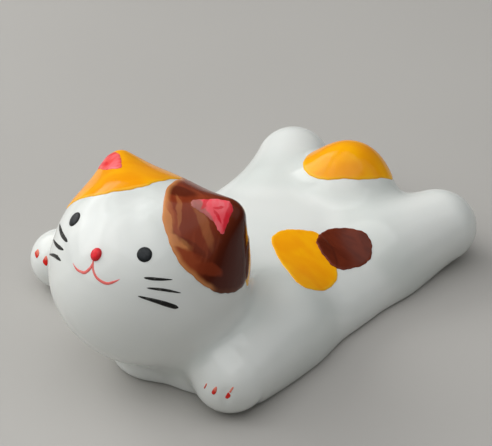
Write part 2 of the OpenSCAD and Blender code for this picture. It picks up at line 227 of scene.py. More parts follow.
def capsule(p, a, b, radius):
    """Distance to a rod with round ends."""
    run = b - a
    t = np.clip((p - a) @ run / (run @ run), 0, 1)
    return np.linalg.norm(p - a - np.outer(t, run), axis=1) - radius


def paw_axes(leg):
    """Middle and radius of a paw and the heading of its leg in degrees."""
    joint, paw, _, radius = LEGS[leg]
    heading = math.degrees(math.atan2(paw[1] - joint[1], paw[0] - joint[0]))
    return np.array([*paw, paw_height(radius)]), radius, heading


def toe_cleft(p, leg, turn):
    """A soft furrow down the front of the paw."""
    middle, radius, heading = paw_axes(leg)
    axes = turned("Z", heading + turn) @ turned("Y", CLEFT_LEAN)
    ends = [middle + axes @ np.array([radius + out, 0, up]) for out, up in CLEFT_ENDS]
    return capsule(p, *ends, CLEFT_RADIUS)


class Clay:
    """The joined clay and glaze as one smooth field, negative inside."""

    def __init__(self, glaze):
        self.leg, self.tail = glaze.leg_fillet / MM, glaze.tail_fillet / MM
        self.ear, self.neck = glaze.ear_fillet / MM, glaze.neck_fillet / MM
        self.foot, self.chest = glaze.foot_rounding / MM, glaze.chest_fillet / MM

    def forms(self, p):
        """Body, legs, tail, head, ears and chest, each as its own field."""
        legs = [leg_form(p, *leg) for leg in LEGS.values()]
        tail, chest = ellipsoid(p - TAIL, TAIL_RADII), ellipsoid(p - CHEST, CHEST_RADII)
        head = ellipsoid((p - HEAD) @ HEAD_AXES, HEAD_RADII)
        return body_form(p), legs, tail, head, [ear_form(p, side) for side in (LEFT, RIGHT)], chest

    def joined(self, p):
        f, legs, tail, head, ears, chest = self.forms(p)
        # A foreleg's fillet ends before its paw, and the neck's is wider at the forelegs.
        leg_reach = self.leg * (1 - PAW_NARROWING * ramp(p[:, 0], *PAW_NARROWS))
        neck_reach = self.neck * (1 + NECK_WIDENING * ramp(np.abs(p[:, 1]), *NECK_WIDENS))
        for leg in legs:
            f = smooth_min(f, leg, leg_reach)
        f = smooth_min(smooth_min(f, tail, self.tail), chest, self.chest)
        for ear in ears:
            head = smooth_min(head, ear, self.ear)
        return smooth_min(f, head, neck_reach)

    def pooled(self, p):
        """How much glaze and slip fill the creases between the forms, from 0 to 1."""
        body, legs, tail, head, ears, chest = self.forms(p)
        bare = np.minimum.reduce([body, tail, head, chest, *legs, *ears])
        return np.clip(bare - self.joined(p), 0, 1)

    def __call__(self, p):
        f = self.joined(p)
        for leg, side in (("left_foreleg", LEFT), ("right_foreleg", RIGHT)):
            f = smooth_max(f, -toe_cleft(p, leg, side * CLEFT_TURN), CLEFT_EASE)
        f = smooth_max(f, -p[:, 2], self.foot)
        ends = [np.array([BODY_MIDDLE, 0, z]) for z in (VENT_START, VENT_DEPTH - VENT_RADIUS)]
        return smooth_max(f, -capsule(p, *ends, VENT_RADIUS), VENT_EASE)

    def slope(self, p, step=0.02):
        out = np.empty_like(p)
        for axis, d in enumerate(step * np.eye(3)):
            out[:, axis] = (self(p + d) - self(p - d)) / (2 * step)
        return out

    def normals(self, p):
        g = self.slope(p)
        return g / np.maximum(np.linalg.norm(g, axis=1), TINY)[:, None]

    def settle(self, p, rounds=4):
        """Moves points onto the surface."""
        for _ in range(rounds):
            g = self.slope(p)
            p = p - (self(p) / np.maximum((g * g).sum(axis=1), LEAST_SLOPE2))[:, None] * g
        return p

    def meet(self, start, direction, rounds=60):
        """Where rays from outside first touch the surface."""
        t = np.zeros(len(start))
        for _ in range(rounds):
            t += RAY_SHARE * self(start + t[:, None] * direction)
        return start + t[:, None] * direction


# ---------------------------------------------------------------- meshes

def surface_net(values, low, step):
    """Quads round the zero level of a grid of values, outward facing."""
    inside = values < 0
    size = np.array(values.shape) - 1
    corners = [np.array([i, j, k]) for i in (0, 1) for j in (0, 1) for k in (0, 1)]

    def part(c):
        return inside[c[0]:size[0] + c[0], c[1]:size[1] + c[1], c[2]:size[2] + c[2]]

    count = sum(part(c).astype(np.int8) for c in corners)
    cells = np.argwhere((count > 0) & (count < 8))
    index = np.full(size, -1)
    index[tuple(cells.T)] = np.arange(len(cells))
    total, number = np.zeros((len(cells), 3)), np.zeros(len(cells))
    for c in corners:
        for axis in range(3):
            if c[axis]:
                continue
            d = c.copy()
            d[axis] = 1
            a, b = values[tuple((cells + c).T)], values[tuple((cells + d).T)]
            cross = (a < 0) != (b < 0)
            point = np.tile(c.astype(float), (len(cells), 1))
            point[cross, axis] = (a / np.where(cross, a - b, 1))[cross]
            total[cross] += point[cross]
            number[cross] += 1
    points = low + step * (cells + total / number[:, None])

    quads = []
    for axis in range(3):
        u, v = (axis + 1) % 3, (axis + 2) % 3
        ends = [slice(None)] * 3
        starts = list(ends)
        starts[axis], ends[axis] = slice(0, -1), slice(1, None)
        edges = np.argwhere(inside[tuple(starts)] != inside[tuple(ends)])
        edges = edges[(edges[:, u] > 0) & (edges[:, v] > 0)]

        def cell(du, dv):
            q = edges.copy()
            q[:, u] -= du
            q[:, v] -= dv
            return index[tuple(q.T)]

        quad = np.stack([cell(1, 1), cell(0, 1), cell(0, 0), cell(1, 0)], axis=1)
        flip = ~inside[tuple(edges.T)]
        quad[flip] = quad[flip][:, ::-1]
        quads.append(quad)
    return points, np.concatenate(quads)


def relaxed(points, quads, share=0.5):
    """Each point moved part of the way to the middle of its neighbours."""
    total, number = np.zeros_like(points), np.zeros(len(points))
    for i in range(4):
        a, b = quads[:, i], quads[:, (i + 1) % 4]
        np.add.at(total, a, points[b])
        np.add.at(total, b, points[a])
        np.add.at(number, a, 1)
        np.add.at(number, b, 1)
    return points + share * (total / number[:, None] - points)


def add_mesh(name, points, faces, materials, attributes=None):
    """A smooth mesh in metres from points in millimetres."""
    mesh = bpy.data.meshes.new(name)
    mesh.from_pydata((np.asarray(points) * MM).tolist(), [], [list(map(int, f)) for f in faces])
    for key, values in (attributes or {}).items():
        values = np.asarray(values, dtype=float)
        kind = "FLOAT" if values.ndim == 1 else "FLOAT_VECTOR"
        layer = mesh.attributes.new(key, kind, "POINT")
        layer.data.foreach_set("value" if values.ndim == 1 else "vector", values.ravel())
    for material in materials:
        mesh.materials.append(material)
    mesh.shade_smooth()
    if mesh.validate():
        raise RuntimeError(f"{name}: the mesh had faults")
    piece = bpy.data.objects.new(name, mesh)
    bpy.context.scene.collection.objects.link(piece)
    return piece


def finish_piece(piece, slot, *nodes):
    """Every piece rides on the one rigid body and stands for its CAD nodes."""
    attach(piece, "root")
    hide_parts(*nodes)


# ---------------------------------------------------------------- brushed colour

# Waves round an outline, height and shift.
HAND_WAVES = ((5, 1.0, 1.0), (11, 0.7, 2.1), (23, 0.5, 3.7))
OUTSIDE = 99  # a place outside every outline

# Where rays towards the surface start: distances, and shares of a radius.
HEAD_CLEAR, NAPE_CLEAR, BACK_CLEAR = 18, 13.8, 16.0
TAIL_CLEAR, PAW_CLEAR = 1.4, 1.5

RING_POWER, LAST_RING = 0.8, 0.3  # the rings of a sheet crowd towards its rim
RIM_SINK, UNDERSIDE = 0.03, 0.2  # how far a sheet's rim and its lower face lie in the glaze
TIP_POWER, TIP_LEAST = 12, 0.03  # how abruptly a stroke ends, and how fine


def along_curve(a, b, c, d, t):
    """Points between b and c on a smooth curve through four points."""
    return 0.5 * (2 * b + (c - a) * t + (2 * a - 5 * b + 4 * c - d) * t**2
                  + (3 * b - a - 3 * c + d) * t**3)


def smooth_loop(corners, steps):
    """Closed curve through a few points."""
    p = np.array(corners, dtype=float)
    before, after, beyond = (np.roll(p, shift, axis=0)[:, None] for shift in (1, -1, -2))
    t = (np.arange(steps) / steps)[:, None]
    return along_curve(before, p[:, None], after, beyond, t).reshape(-1, 2)


def smooth_line(corners, t):
    """Open curve through a few points, at given shares of its run."""
    p = np.array(corners, dtype=float)
    p = np.concatenate([[2 * p[0] - p[1]], p, [2 * p[-1] - p[-2]]])
    spot = t * (len(p) - 3)
    i = np.minimum(spot.astype(int), len(p) - 4)
    return along_curve(p[i], p[i + 1], p[i + 2], p[i + 3], (spot - i)[:, None])


def hand_drawn(loop, wobble, phase):
    """The small unevenness of an edge that a brush leaves."""
    ahead = np.roll(loop, -1, axis=0) - np.roll(loop, 1, axis=0)
    side = np.stack([ahead[:, 1], -ahead[:, 0]], axis=1)
    side /= np.linalg.norm(side, axis=1)[:, None]
    a = np.arange(len(loop)) / len(loop) * 2 * np.pi
    wave = sum(height * np.sin(waves * a + shift * phase) for waves, height, shift in HAND_WAVES)
    return loop + side * (wobble * wave)[:, None]


def inset(points, loop):
    """Distance to a closed outline, positive inside."""
    a, b = loop, np.roll(loop, -1, axis=0)
    run = b - a
    best = np.full(len(points), np.inf)
    crossings = np.zeros(len(points), dtype=int)
    for i in range(len(a)):
        to = points - a[i]
        t = np.clip(to @ run[i] / (run[i] @ run[i]), 0, 1)
        best = np.minimum(best, np.linalg.norm(to - np.outer(t, run[i]), axis=1))
        spans = (a[i, 1] > points[:, 1]) != (b[i, 1] > points[:, 1])
        if run[i, 1]:
            reach = a[i, 0] + (points[:, 1] - a[i, 1]) / run[i, 1] * run[i, 0]
            crossings += spans & (points[:, 0] < reach)
    return np.where(crossings % 2 == 1, best, -best)


class HeadView:
    """The plane that faces the head from one direction: first number to the back, second up."""

    def __init__(self, azimuth, elevation, side=LEFT, start=HEAD_CLEAR):
        self.axes = [HEAD_AXES @ d for d in towards(azimuth, elevation, side)]
        self.start = start

    def place(self, clay, uv):
        out, back, up = self.axes
        start = HEAD + self.start * out + uv[:, :1] * back + uv[:, 1:] * up
        return clay.meet(start, -out)

    def locate(self, p):
        out, back, up = self.axes
        q = p - HEAD
        uv = np.stack([q @ back, q @ up], axis=1)
        uv[q @ out < 0] = OUTSIDE
        return uv


class TopView:
    """The plane of the table, for colour on the back."""

    def place(self, clay, uv):
        start = np.column_stack([uv, np.full(len(uv), BACK_CLEAR)])
        return clay.meet(start, np.array([0, 0, -1.0]))

    def locate(self, p):
        return p[:, :2]


class BallView:
    """Arcs over the tail in millimetres from its top, as on a peeled cap."""

    def __init__(self, middle, radius):
        self.middle, self.radius = middle, radius

    def rim(self, elevations):
        """Corners of an outline at given heights above the tail's middle, in degrees."""
        a = np.linspace(0, 2 * np.pi, len(elevations), endpoint=False)
        arc = self.radius * np.radians(90 - np.array(elevations))
        return np.column_stack([arc * np.cos(a), arc * np.sin(a)])

    def place(self, clay, uv):
        arc = np.linalg.norm(uv, axis=1)
        angle = arc / self.radius
        side = uv / np.maximum(arc, TINY)[:, None]
        ray = np.column_stack([np.sin(angle)[:, None] * side, np.cos(angle)])
        return clay.meet(self.middle + TAIL_CLEAR * self.radius * ray, -ray)

    def locate(self, p):
        q = p - self.middle
        flat = np.maximum(np.linalg.norm(q[:, :2], axis=1), TINY)
        return (self.radius * np.arctan2(flat, q[:, 2]) / flat)[:, None] * q[:, :2]


class PawView:
    """Arcs in millimetres round a paw from its leg's heading, and up from its middle."""

    def __init__(self, leg):
        self.middle, self.radius, self.heading = paw_axes(leg)

    def place(self, clay, arcs):
        a, e = (arcs / self.radius).T
        a = a + math.radians(self.heading)
        ray = np.stack([np.cos(a) * np.cos(e), np.sin(a) * np.cos(e), np.sin(e)], axis=1)
        return clay.meet(self.middle + PAW_CLEAR * self.radius * ray, -ray)


class Sheet:
    """A sheet of enamel inside an outline: full in the middle and rounded down at its rim."""

    def __init__(self, view, loop, thickness, rim, rings):
        self.view, self.loop = view, loop
        self.thickness, self.rim, self.rings = thickness, rim, rings

    def height(self, uv):
        share = np.clip(inset(uv, self.loop) / self.rim, 0, 1)
        return self.thickness * np.sqrt(1 - (1 - share) ** 2)

    def cover(self, p):
        return self.height(self.view.locate(p))

    def shell(self, clay, under=()):
        """Points, faces and brush coordinates of the sheet where it lies on the clay."""
        middle = self.loop.mean(axis=0)
        shares = np.linspace(0, 1, self.rings) ** RING_POWER
        shares = np.append(shares[:-1], [1 - LAST_RING * (1 - shares[-2]), 1.0])
        rings = [middle + s * (self.loop - middle) for s in shares[1:]]
        n = len(self.loop)
        uv = np.concatenate([middle[None], *rings])
        ground = self.view.place(clay, uv)
        normal = clay.normals(ground)
        base = sum((sheet.cover(ground) for sheet in under), np.zeros(len(ground)))
        rise = base + self.height(uv)
        rise[-n:] = base[-n:] - RIM_SINK
        top = ground + normal * rise[:, None]
        low = ground[:-n] - normal[:-n] * UNDERSIDE
        offset, last = len(top), len(rings) - 1
        faces = []
        for j in range(n):
            k = (j + 1) % n
            faces.append((0, 1 + j, 1 + k))
            faces.append((offset, offset + 1 + k, offset + 1 + j))
            for r in range(last):
                a, b = 1 + r * n, 1 + (r + 1) * n
                faces.append((a + j, b + j, b + k, a + k))
                inner = offset + a
                outer = b if r + 1 == last else offset + b
                faces.append((inner + j, inner + k, outer + k, outer + j))
        a, b, c = top[0], top[1], top[1 + n // 3]
        if np.cross(b - a, c - a) @ normal[0] < 0:
            faces = [f[::-1] for f in faces]
        brush = np.column_stack([uv, inset(uv, self.loop)])
        return np.concatenate([top, low]), faces, np.concatenate([brush, brush[:-n]])


def enamel_mesh(name, clay, sheets, material, under=()):
    """One mesh of one or more sheets of enamel, which lie over those under them."""
    points, faces, brush, first = [], [], [], 0
    for sheet in sheets:
        p, f, b = sheet.shell(clay, under)
        points.append(p)
        brush.append(b)
        faces += [[first + i for i in face] for face in f]
        first += len(p)
    brush = np.concatenate(brush)
    return add_mesh(name, np.concatenate(points), faces, [material], {"brush": brush})


def lay(node, kind, slot, clay, sheet, material, under=()):
    """One sheet of enamel that stands for a CAD node."""
    finish_piece(enamel_mesh(f"{node}_{kind}", clay, [sheet], material, under), slot, node)


def painted(view, corners, enamel, steps, wobble, phase, rings, coats=1):
    """A sheet with a hand-drawn outline through a few corners."""
    loop = hand_drawn(smooth_loop(corners, steps), wobble, phase)
    return Sheet(view, loop, coats * (enamel.thickness / MM), enamel.rim / MM, rings)


def bead(view, width, height, relief):
    """A domed drop of colour."""
    a = np.linspace(0, 2 * np.pi, 48, endpoint=False)
    loop = np.stack([width / 2 * np.cos(a), height / 2 * np.sin(a)], axis=1)
    return Sheet(view, loop, relief, min(width, height) / 2, 12)


def stroke_points(view, clay, corners, width, sunk, steps=28):
    """Points and radii of a tapered brush stroke that lies half sunk in the glaze."""
    t = np.linspace(0, 1, steps)
    uv = smooth_line(corners, t)
    widths = np.interp(t, np.linspace(0, 1, len(width)), width)
    taper = np.sqrt(np.clip(1 - (2 * t - 1) ** TIP_POWER, TIP_LEAST, 1))
    radius = widths / 2 / math.sqrt(1 - sunk**2) * taper
    ground = view.place(clay, uv)
    points = ground - clay.normals(ground) * (radius * sunk)[:, None]
    return points, radius


# ---------------------------------------------------------------- node building

def srgb(r, g, b):
    """A colour as it looks, from 0 to 255, as the renderer's own numbers."""
    out = []
    for c in (r, g, b):
        c /= 255
        out.append(c / 12.92 if c <= 0.04045 else ((c + 0.055) / 1.055) ** 2.4)
    return tuple(out)


def shade(colour, share):
    """A darker tone of a colour."""
    return tuple(share * c for c in colour)


class Nodes:
    """Adds nodes to a tree, with their inputs linked or set."""

    def __init__(self, tree):
        self.tree = tree
        tree.nodes.clear()

    def put(self, socket, value):
        if isinstance(value, bpy.types.NodeSocket):
            self.tree.links.new(value, socket)
        else:
            socket.default_value = value

    def node(self, kind, inputs=None, **properties):
        node = self.tree.nodes.new(kind)
        for key, value in properties.items():
            setattr(node, key, value)
        for key, value in (inputs or {}).items():
            self.put(node.inputs[key], value)
        return node


class Finish(Nodes):
    """One procedural material."""

    def __init__(self, name):
        self.material = bpy.data.materials.new(name)
        self.material.use_nodes = True
        super().__init__(self.material.node_tree)
        output = self.node("ShaderNodeOutputMaterial")
        self.shader = self.node("ShaderNodeBsdfPrincipled")
        self.put(output.inputs[0], self.shader.outputs[0])

    def place(self):
        """Object coordinates in millimetres."""
        source = self.node("ShaderNodeTexCoord").outputs["Object"]
        scale = (1 / MM, 1 / MM, 1 / MM)
        return self.node("ShaderNodeMapping", {"Vector": source, "Scale": scale}).outputs[0]

    def attribute(self, name, output):
        return self.node("ShaderNodeAttribute", attribute_name=name).outputs[output]

    def brush(self, stretch, turn=0.0):
        """The sheet's own outline coordinates in millimetres, turned and stretched."""
        return self.node("ShaderNodeMapping", {
            "Vector": self.attribute("brush", "Vector"), "Rotation": (0, 0, turn),
            "Scale": (*stretch, 0.0)}).outputs[0]

    def brush_parts(self):
        """Outline coordinates and inset of a sheet as three values."""
        return self.node("ShaderNodeSeparateXYZ", {0: self.attribute("brush", "Vector")}).outputs[:]

    def maths(self, operation, a, b):
        return self.node("ShaderNodeMath", {0: a, 1: b}, operation=operation).outputs[0]

    def vector_maths(self, operation, a, b):
        return self.node("ShaderNodeVectorMath", {0: a, 1: b}, operation=operation).outputs[0]

    def noise(self, vector, scale, detail=2.0, roughness=0.5, distortion=0.0, output="Fac"):
        return self.node("ShaderNodeTexNoise", {
            "Vector": vector, "Scale": scale, "Detail": detail, "Roughness": roughness,
            "Distortion": distortion}).outputs[output]

    def span(self, value, low, high, to_low=0.0, to_high=1.0):
        """Runs smoothly from one value to another while the first rises from low to high."""
        return self.node("ShaderNodeMapRange", {
            "Value": value, "From Min": low, "From Max": high, "To Min": to_low,
            "To Max": to_high}, interpolation_type="SMOOTHSTEP").outputs[0]

    def mix(self, factor, a, b):
        a, b = (c if isinstance(c, bpy.types.NodeSocket) else (*c, 1.0) for c in (a, b))
        return self.node("ShaderNodeMix", {0: factor, 6: a, 7: b}, data_type="RGBA").outputs[2]

    def bump(self, height, distance, strength, normal=None):
        inputs = {"Height": height, "Distance": distance * MM, "Strength": strength}
        if normal is not None:
            inputs["Normal"] = normal
        return self.node("ShaderNodeBump", inputs).outputs[0]

    def pulled(self, amount, scale):
        """Outline coordinates that waver as a hand does."""
        place = self.brush((1, 1))
        noise = self.noise(place, scale, output="Color")
        middle = self.vector_maths("SUBTRACT", noise, (0.5, 0.5, 0.5))
        scaled = self.vector_maths("MULTIPLY", middle, (amount, amount, 0.0))
        return self.vector_maths("ADD", place, scaled)

    def dab(self, vector, middle, turn, half, strength, streak):
        """One dab of the brush: a soft long spot, broken by the streaks of its hair."""
        local = self.node("ShaderNodeMapping", {
            "Vector": vector, "Location": (*middle, 0.0), "Scale": (*half, 1.0),
            "Rotation": (0.0, 0.0, math.radians(turn))}, vector_type="TEXTURE").outputs[0]
        spot = self.node(
            "ShaderNodeTexGradient", {"Vector": local}, gradient_type="SPHERICAL").outputs["Fac"]
        broken = self.maths("MULTIPLY", spot, self.maths("ADD", streak, 0.5))
        return self.span(broken, 0.02, 0.44, 0.0, strength)

    def dabbed(self, colour, dabs, pull, streak, enamel, family):
        """A colour with dabs of other tones of its family over it."""
        for middle, turn, half, tone, strength in dabs:
            spot = self.dab(pull, middle, turn, half, strength, streak)
            colour = self.mix(spot, colour, getattr(enamel, f"{family}_{tone}"))
        return colour

    def done(self, **sockets):
        for key, value in sockets.items():
            self.put(self.shader.inputs[key.replace("_", " ")], value)
        return self.material


GLAZE_IOR, ENAMEL_IOR = 1.5, 1.3


def glaze_ripple(f):
    """Slow waves of a dipped glaze and its finer skin."""
    slow = f.bump(f.noise(f.place(), 0.16, 1.0), distance=0.22, strength=0.2)
    return f.bump(f.noise(f.place(), 1.3), distance=0.012, strength=0.35, normal=slow)


def porcelain_finish(glaze):
    """White glaze with slow clouds, a little green where it pools."""
    f = Finish("glazed porcelain")
    clouds = f.span(f.noise(f.place(), 0.09), 0.3, 0.7)
    colour = f.mix(clouds, glaze.colour, glaze.shade_colour)
    pool = f.span(f.attribute("pool", "Fac"), 0.1, 0.9, 0.0, 0.55)
    colour = f.mix(pool, colour, glaze.pool_colour)
    gloss = f.span(f.noise(f.place(), 0.5, 3.0), 0.3, 0.7, 0.1, 0.15)
    return f.done(
        Base_Color=colour, Roughness=gloss, IOR=GLAZE_IOR, Subsurface_Weight=0.12,
        Subsurface_Radius=(1.0, 0.95, 0.85), Subsurface_Scale=0.0012, Normal=glaze_ripple(f))


def bisque_finish(glaze):
    """Bare fired clay, grainy and dull."""
    f = Finish("bare foot")
    tone = f.span(f.noise(f.place(), 0.4, 4.0, 0.6), 0.35, 0.7)
    colour = f.mix(tone, glaze.foot_colour, shade(glaze.foot_colour, 0.8))
    grain = f.bump(f.noise(f.place(), 6.0, 3.0), distance=0.03, strength=0.6)
    return f.done(Base_Color=colour, Roughness=0.75, Normal=grain)


def enamel_finish(name, deep, full, thin, stretch, turn, rim, roughness=0.12):
    """Fired colour: streaks of the brush between a deep and a full tone, thinner at the rim."""
    f = Finish(name)
    streak = f.noise(f.brush(stretch, turn), 1.0, distortion=0.4)
    colour = f.mix(f.span(streak, 0.35, 0.7, 0.0, 0.55), full, deep)
    cloud = f.noise(f.place(), 0.22, 1.0)
    colour = f.mix(f.span(cloud, 0.42, 0.68, 0.0, 0.6), colour, deep)
    edge = f.span(f.brush_parts()[2], 0.0, rim, 1.0, 0.0)
    ragged = f.maths("MULTIPLY", edge, f.span(streak, 0.25, 0.6, 1.0, 0.45))
    colour = f.mix(ragged, colour, thin)
    ridges = f.bump(streak, distance=0.02, strength=0.5, normal=glaze_ripple(f))
    return f.done(Base_Color=colour, Roughness=roughness, IOR=ENAMEL_IOR, Normal=ridges)


def yellow_finish(place, enamel, stretch, turn, rim):
    """Yellow enamel, streaked the way its place was brushed."""
    tones = enamel.yellow_deep, enamel.yellow_full, enamel.yellow_thin
    return enamel_finish(f"yellow enamel, {place}", *tones, stretch, turn, rim)


def ear_brown_finish(enamel):
    """Red-brown laid on with a broad brush: dabs that overlap, dragged thin along the face."""
    f = Finish("red-brown enamel, brushed")
    u, v, depth = f.brush_parts()
    hair = f.noise(f.brush((1.3, 0.22), 0.2), 1.0, distortion=0.6)
    # Full on the side of the face, and darker away from it: partly thick enamel, partly painted
    # shade on the ear's far side.
    back = f.span(f.maths("ADD", u, f.maths("MULTIPLY", v, -0.3)), -0.8, 3.0)
    colour = f.mix(back, enamel.brown_full, enamel.brown_deep)
    washed = f.maths("MULTIPLY", f.span(hair, 0.42, 0.66), f.span(back, 0.0, 1.0, 0.4, 0.0))
    colour = f.mix(washed, colour, enamel.brown_warm)
    colour = f.dabbed(colour, BROWN_DABS, f.pulled(0.9, 0.5), hair, enamel, "brown")
    edge = f.span(depth, 0.1, 0.75, 1.0, 0.0)
    rim = f.maths("MULTIPLY", edge, f.span(u, 1.5, 3.2, 0.85, 0.08))
    colour = f.mix(rim, colour, enamel.brown_thin)
    ridges = f.bump(hair, distance=0.02, strength=0.5, normal=glaze_ripple(f))
    return f.done(Base_Color=colour, Roughness=0.17, IOR=ENAMEL_IOR, Normal=ridges)


def lining_finish(name, enamel, main, dabs):
    """Pink-red over the ear colour, with paler streaks of painted highlight and a few stronger
    strokes.
    """
    f = Finish(name)
    streak = f.noise(f.brush((1.5, 0.5), -0.45), 1.0, distortion=0.5)
    # The paler pink along the streaks is painted highlight.
    colour = f.mix(f.span(streak, 0.4, 0.62, 0.0, 0.5), main, enamel.pink_pale)
    colour = f.dabbed(colour, dabs, f.pulled(0.5, 1.1), streak, enamel, "pink")
    ridges = f.bump(streak, distance=0.03, strength=0.6, normal=glaze_ripple(f))
    return f.done(Base_Color=colour, Roughness=0.12, IOR=ENAMEL_IOR, Normal=ridges)


def mark_finish(name, enamel, low, high):
    """Red of a paw mark, paler between two heights on the paw."""
    f = Finish(name)
    _, v, _ = f.brush_parts()
    fade = f.maths("ADD", v, f.maths("MULTIPLY", f.noise(f.place(), 3.0, 1.0), 0.5))
    middle = 0.25  # what the noise adds on average
    colour = f.mix(f.span(fade, low + middle, high + middle), enamel.mark_red, enamel.mark_faint)
    return f.done(Base_Color=colour, Roughness=0.16, IOR=ENAMEL_IOR, Normal=glaze_ripple(f))


def bead_finish(name, colour, rim_share, roughness):
    """A raised drop of colour, a little darker round its edge."""
    f = Finish(name)
    rim = shade(colour, rim_share)
    edge = f.span(f.brush_parts()[2], 0.02, 0.45, 1.0, 0.0)
    mottled = f.mix(f.span(f.noise(f.place(), 2.5), 0.35, 0.7, 0.0, 0.5), colour, rim)
    tone = f.mix(edge, mottled, rim)
    return f.done(Base_Color=tone, Roughness=roughness, IOR=ENAMEL_IOR, Normal=glaze_ripple(f))


def stroke_finish(name, colour, faint, roughness):
    """A thin brush line, a little broken where the brush ran dry."""
    f = Finish(name)
    dry = f.span(f.noise(f.place(), 2.2, 3.0, 0.6), 0.5, 0.72, 0.0, 0.6)
    tone = f.mix(dry, colour, faint)
    grain = f.bump(f.noise(f.place(), 5.0), distance=0.02, strength=0.6)
    return f.done(Base_Color=tone, Roughness=roughness, IOR=ENAMEL_IOR, Normal=grain)


# ---------------------------------------------------------------- brush strokes by nodes

def stroke_tree():
    """Geometry Nodes that run a round brush along lines of points with a radius on each."""
    tree = bpy.data.node_groups.get("Brush stroke")
    if tree:
        return tree
    tree = bpy.data.node_groups.new("Brush stroke", "GeometryNodeTree")
    for name, kind, way in (
            ("Geometry", "Geometry", "INPUT"), ("Sides", "Int", "INPUT"),
            ("Brush load", "Float", "INPUT"), ("Material", "Material", "INPUT"),
            ("Geometry", "Geometry", "OUTPUT")):
        socket = tree.interface.new_socket(name, in_out=way, socket_type=f"NodeSocket{kind}")
        if name == "Sides":
            socket.default_value, socket.min_value = 12, 6
        elif name == "Brush load":
            socket.default_value = 1.0
    n = Nodes(tree)
    start = n.node("NodeGroupInput").outputs
    curve = n.node("GeometryNodeMeshToCurve", {0: start["Geometry"]}).outputs[0]
    radius = n.node(
        "GeometryNodeInputNamedAttribute", {"Name": "radius"}, data_type="FLOAT").outputs[0]
    loaded = n.node(
        "ShaderNodeMath", {0: radius, 1: start["Brush load"]}, operation="MULTIPLY").outputs[0]
    circle = n.node(
        "GeometryNodeCurvePrimitiveCircle", {"Resolution": start["Sides"], "Radius": 1.0})
    swept = n.node("GeometryNodeCurveToMesh", {
        "Curve": curve, "Profile Curve": circle.outputs["Curve"], "Scale": loaded,
        "Fill Caps": True})
    smooth = n.node("GeometryNodeSetShadeSmooth", {"Geometry": swept.outputs["Mesh"]})
    solid = n.node("GeometryNodeRealizeInstances", {"Geometry": smooth.outputs["Geometry"]})
    paint = n.node("GeometryNodeSetMaterial", {
        "Geometry": solid.outputs["Geometry"], "Material": start["Material"]})
    n.node("NodeGroupOutput", {"Geometry": paint.outputs["Geometry"]})
    return tree


def brush_strokes(name, strokes, material):
    """One plain mesh of several strokes, each given as its points and radii."""
    points = np.concatenate([p for p, _ in strokes])
    radii = np.concatenate([r for _, r in strokes])
    edges, first = [], 0
    for p, _ in strokes:
        edges += [(first + i, first + i + 1) for i in range(len(p) - 1)]
        first += len(p)
    mesh = bpy.data.meshes.new(name + "_lines")
    mesh.from_pydata((points * MM).tolist(), edges, [])
    mesh.attributes.new("radius", "FLOAT", "POINT").data.foreach_set("value", radii * MM)
    lines = bpy.data.objects.new(name + "_lines", mesh)
    bpy.context.scene.collection.objects.link(lines)
    tree = stroke_tree()
    modifier = lines.modifiers.new("Brush stroke", "NODES")
    modifier.node_group = tree
    sockets = {s.name: s.identifier for s in tree.interface.items_tree if s.in_out == "INPUT"}
    modifier[sockets["Material"]] = material
    evaluated = lines.evaluated_get(bpy.context.evaluated_depsgraph_get())
    result = bpy.data.meshes.new_from_object(evaluated)
    result.name = name
    lines.modifiers.remove(modifier)
    bpy.data.objects.remove(lines)
    bpy.data.meshes.remove(mesh)
    if not result.polygons:
        raise RuntimeError(f"{name}: the strokes came out empty")
    piece = bpy.data.objects.new(name, result)
    bpy.context.scene.collection.objects.link(piece)
    return piece


# ---------------------------------------------------------------- painted outlines

EAR_VIEW, NAPE_VIEW, CHEEK_VIEW = (60, 35), (122, 20), (42, 0)
BROWN_EAR = [
    (-0.4, 10.3), (-1.6, 9.75), (-3.3, 8.35), (-4.65, 6.3), (-5.45, 3.55), (-5.5, 1.7),
    (-5.15, 0.15), (-4.6, -1.05), (-4, -2.05), (-3.2, -3.05), (-2.15, -3.95), (-0.9, -4.6),
    (0.4, -5.05), (1.75, -5.25), (3.05, -5.25), (4.4, -5), (5.4, -4.65), (6.7, -3.9),
    (7.8, -2.8), (8.3, -1.1), (8.2, 0.8), (7.8, 2.4), (7.6, 5), (6.6, 8.6), (3.2, 10.6),
]
YELLOW_EAR = [
    (-1.2, 10.6), (-4, 9.15), (-5.3, 7.9), (-6.05, 6.85), (-6.35, 5.65), (-6.4, 3.8),
    (-6.15, 1.95), (-5, 0.1), (-3, -1.8), (-2, -2.95), (-0.6, -4), (1.3, -4.5), (3.8, -4.8),
    (7, -3), (8.6, 0.5), (8.6, 4.5), (6.6, 8.2), (2.8, 10.8),
]
NAPE = [
    (-4.2, 4.8), (-4.8, 2.2), (-4.4, 0.2), (-3.0, -0.8), (-1.0, -0.7), (1.0, 0.6), (2.3, 2.8),
    (1.5, 5), (-1.2, 5.8),
]
NEAR_LINING = [
    (-2.42, 4.25), (-2.05, 4.98), (-1.1, 5.2), (0, 5.35), (1.2, 5.4), (2, 5.25), (2.25, 4.3),
    (2.05, 3.2), (1.95, 2.1), (1.6, 1.15), (0.95, 1.5), (0.2, 2.3), (-0.75, 3.05), (-1.6, 3.5),
    (-2.2, 3.8),
]
FAR_LINING = [
    (-2.1, 4.8), (-0.4, 5.2), (1, 5.15), (2.1, 4.7), (2.6, 3.6), (2.5, 2.5), (1.9, 1.9),
    (0.7, 2.2), (-0.8, 2.9), (-2, 4),
]

